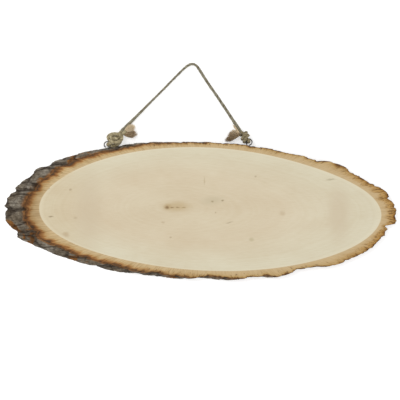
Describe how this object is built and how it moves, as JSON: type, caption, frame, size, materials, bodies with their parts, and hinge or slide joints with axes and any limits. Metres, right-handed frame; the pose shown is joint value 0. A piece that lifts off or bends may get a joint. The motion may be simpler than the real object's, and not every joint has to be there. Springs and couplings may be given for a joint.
{
  "type": "wood slice",
  "caption": "Long oval slice of branch wood with its bark on, cut at a slant, with screw eyes in its upper edge and a knotted jute rope to hang it by.",
  "frame": {"origin": "on the flat back of the slice, under the middle of its length and on the branch's middle line", "axes": "+X along the oval, away from the end where the bark shows, +Y towards the rope, +Z out of the front face"},
  "size_m": [0.4078, 0.2246, 0.0098],
  "materials": {
    "slice_wood": "sawn and sanded pale wood, with rough grey-brown bark round the edge",
    "eye_steel": "zinc-plated wire",
    "jute": "twisted jute, hairy and dull"
  },
  "bodies": {
    "root": {"wood_slice": "slice_wood", "screw_eye_left": "eye_steel", "screw_eye_right": "eye_steel", "rope": "jute", "knot_left": "jute", "knot_right": "jute", "frayed_end_left": "jute", "frayed_end_right": "jute"}
  },
  "joints": []
}
